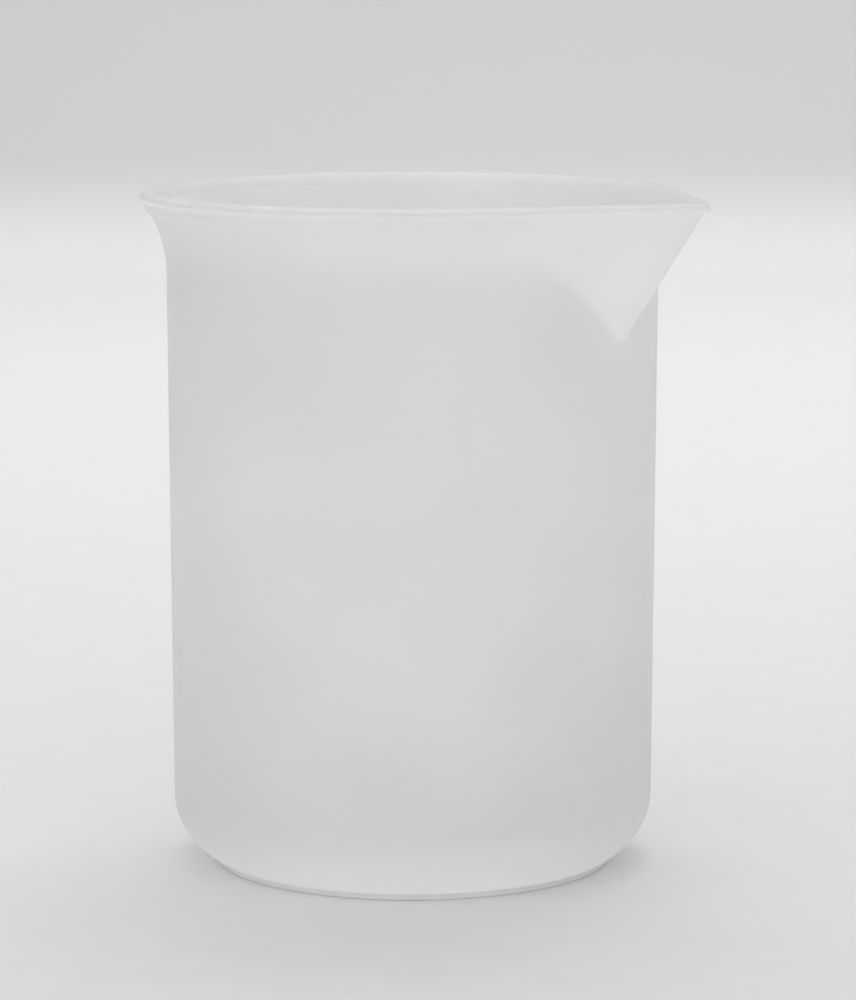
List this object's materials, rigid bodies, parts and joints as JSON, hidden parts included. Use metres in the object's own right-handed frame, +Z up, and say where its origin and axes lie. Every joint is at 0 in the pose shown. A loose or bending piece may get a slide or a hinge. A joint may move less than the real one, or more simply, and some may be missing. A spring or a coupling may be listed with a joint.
{
  "type": "laboratory beaker",
  "caption": "Low-form plastic laboratory beaker: drafted cylindrical body with rounded heel and standing ring, flared lip and a V-shaped pouring spout",
  "frame": {"origin": "centre of the circle that the beaker stands on, on the beaker's axis, at bench level", "axes": "+Z up along the beaker's axis; +X towards the tip of the pouring spout; +Y completes the right-handed frame"},
  "size_m": [0.0869, 0.0772, 0.096],
  "materials": {
    "polypropylene": "natural translucent polypropylene as moulded, satin outside, unpigmented milky white"
  },
  "bodies": {
    "root": {"foot_ring": "polypropylene", "base": "polypropylene", "side_wall": "polypropylene", "flared_rim": "polypropylene", "pouring_spout": "polypropylene"}
  },
  "joints": []
}
